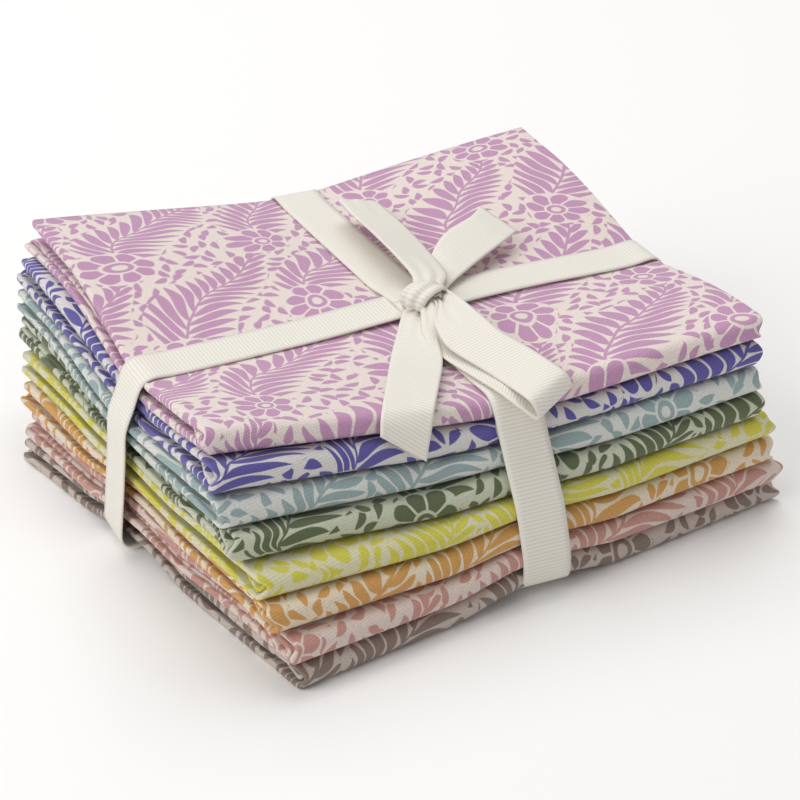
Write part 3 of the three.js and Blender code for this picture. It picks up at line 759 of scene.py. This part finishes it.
def smooth_rows(rows, spacing):
    """Sections between the rows of a table, on a Catmull-Rom curve, about spacing apart."""
    rows = np.array(rows, dtype=float)
    padded = np.concatenate([[2 * rows[0] - rows[1]], rows, [2 * rows[-1] - rows[-2]]])
    sections = []
    for i in range(1, len(padded) - 2):
        before, here, after, beyond = padded[i - 1:i + 3]
        steps = max(2, round(np.linalg.norm((after - here).mean(axis=0)) / spacing))
        for s in np.linspace(0, 1, steps, endpoint=False):
            sections.append(0.5 * (
                2 * here + (after - before) * s
                + (2 * before - 5 * here + 4 * after - beyond) * s ** 2
                + (3 * here - before - 3 * after + beyond) * s ** 3
            ))
    return np.array(sections + [rows[-1]])


for name, rows in BOW.items():
    sections = smooth_rows(rows, SECTION_SPACING) * MM
    left, right = sections[:, 0], sections[:, 1]
    share = np.linspace(-1, 1, 17)[None, :, None]
    place = left[:, None] * (1 - share) / 2 + right[:, None] * (1 + share) / 2
    width = np.linalg.norm(right - left, axis=1)
    middle_way = np.gradient((left + right) / 2, axis=0)
    upward = np.cross(right - left, middle_way)
    upward /= np.linalg.norm(upward, axis=1)[:, None]
    slack_width = np.clip(RIBBON_WIDTH - width, 0, None)[:, None, None]
    arch = ARCH_SHARE * slack_width * (1 - share ** 2)
    pleat = PLEAT_SHARE * slack_width * np.cos(PLEATS * math.pi * share)
    place = place + upward[:, None] * (arch + pleat)
    lengths = [np.concatenate([[0], np.cumsum(np.linalg.norm(np.diff(edge, axis=0), axis=1))])
               for edge in (left, right)]
    along = lengths[0][:, None] * (1 - share[..., 0]) / 2 + lengths[1][:, None] * (1 + share[..., 0]) / 2
    flat = np.stack([along, share[..., 0] * RIBBON_WIDTH / 2 + 0 * along], axis=-1)
    place = place + np.array(crossing) + np.array([stack_middle.x, stack_middle.y, BOW_LIFT])
    ribbon_piece(name, place, flat)

# The set: a plain pale floor, a large soft light from above and behind, another about as strong from the
# left, and the camera where the photograph was taken from.
AIM = Vector((6.3, 11.1, 14.3)) * MM
CAMERA_DISTANCE = 600 * MM
CAMERA_AZIMUTH = -24.9
CAMERA_ELEVATION = 28.5
FOCAL_PIXELS = 2394.5
PICTURE_PIXELS = 800


def toward(azimuth, elevation):
    """The way out from the stack at an azimuth and an elevation in degrees; 0 and 0 is the front."""
    a, e = math.radians(azimuth), math.radians(elevation)
    return Vector((math.sin(a) * math.cos(e), -math.cos(a) * math.cos(e), math.sin(e)))


floor_mesh = bpy.data.meshes.new("studio_floor")
bm = bmesh.new()
bmesh.ops.create_grid(bm, x_segments=1, y_segments=1, size=4)
bm.to_mesh(floor_mesh)
bm.free()
floor = bpy.data.objects.new("studio_floor", floor_mesh)
bpy.context.scene.collection.objects.link(floor)
paper = bpy.data.materials.new("white_background_paper")
paper.use_nodes = True
paper.node_tree.nodes["Principled BSDF"].inputs["Base Color"].default_value = linear("FBFAF9")
paper.node_tree.nodes["Principled BSDF"].inputs["Roughness"].default_value = 0.9
floor_mesh.materials.append(paper)

LIGHT_COLUMNS = ("name", "azimuth", "elevation", "distance", "size", "watts")
for light_row in (
    ("softbox_over", 165, 66, 1.5, 1.3, 12),
    ("softbox_left", -82, 38, 1.6, 1.2, 11),
):
    light = dict(zip(LIGHT_COLUMNS, light_row))
    lamp = bpy.data.lights.new(light["name"], "AREA")
    lamp.size = light["size"]
    lamp.energy = light["watts"]
    lamp_object = bpy.data.objects.new(light["name"], lamp)
    bpy.context.scene.collection.objects.link(lamp_object)
    away = toward(light["azimuth"], light["elevation"])
    lamp_object.location = away * light["distance"]
    lamp_object.rotation_euler = away.to_track_quat("Z", "Y").to_euler()

world = bpy.data.worlds.new("studio")
world.use_nodes = True
world.node_tree.nodes["Background"].inputs["Color"].default_value = linear("FFFFFF")
world.node_tree.nodes["Background"].inputs["Strength"].default_value = 0.4
bpy.context.scene.world = world
bpy.context.scene.view_settings.view_transform = "Standard"

camera = bpy.data.cameras.new("camera")
camera.sensor_width = 36
camera.lens = FOCAL_PIXELS / PICTURE_PIXELS * camera.sensor_width
camera_object = bpy.data.objects.new("camera", camera)
bpy.context.scene.collection.objects.link(camera_object)
back = toward(CAMERA_AZIMUTH, CAMERA_ELEVATION)
camera_object.location = AIM + back * CAMERA_DISTANCE
camera_object.rotation_euler = back.to_track_quat("Z", "Y").to_euler()
bpy.context.scene.camera = camera_object
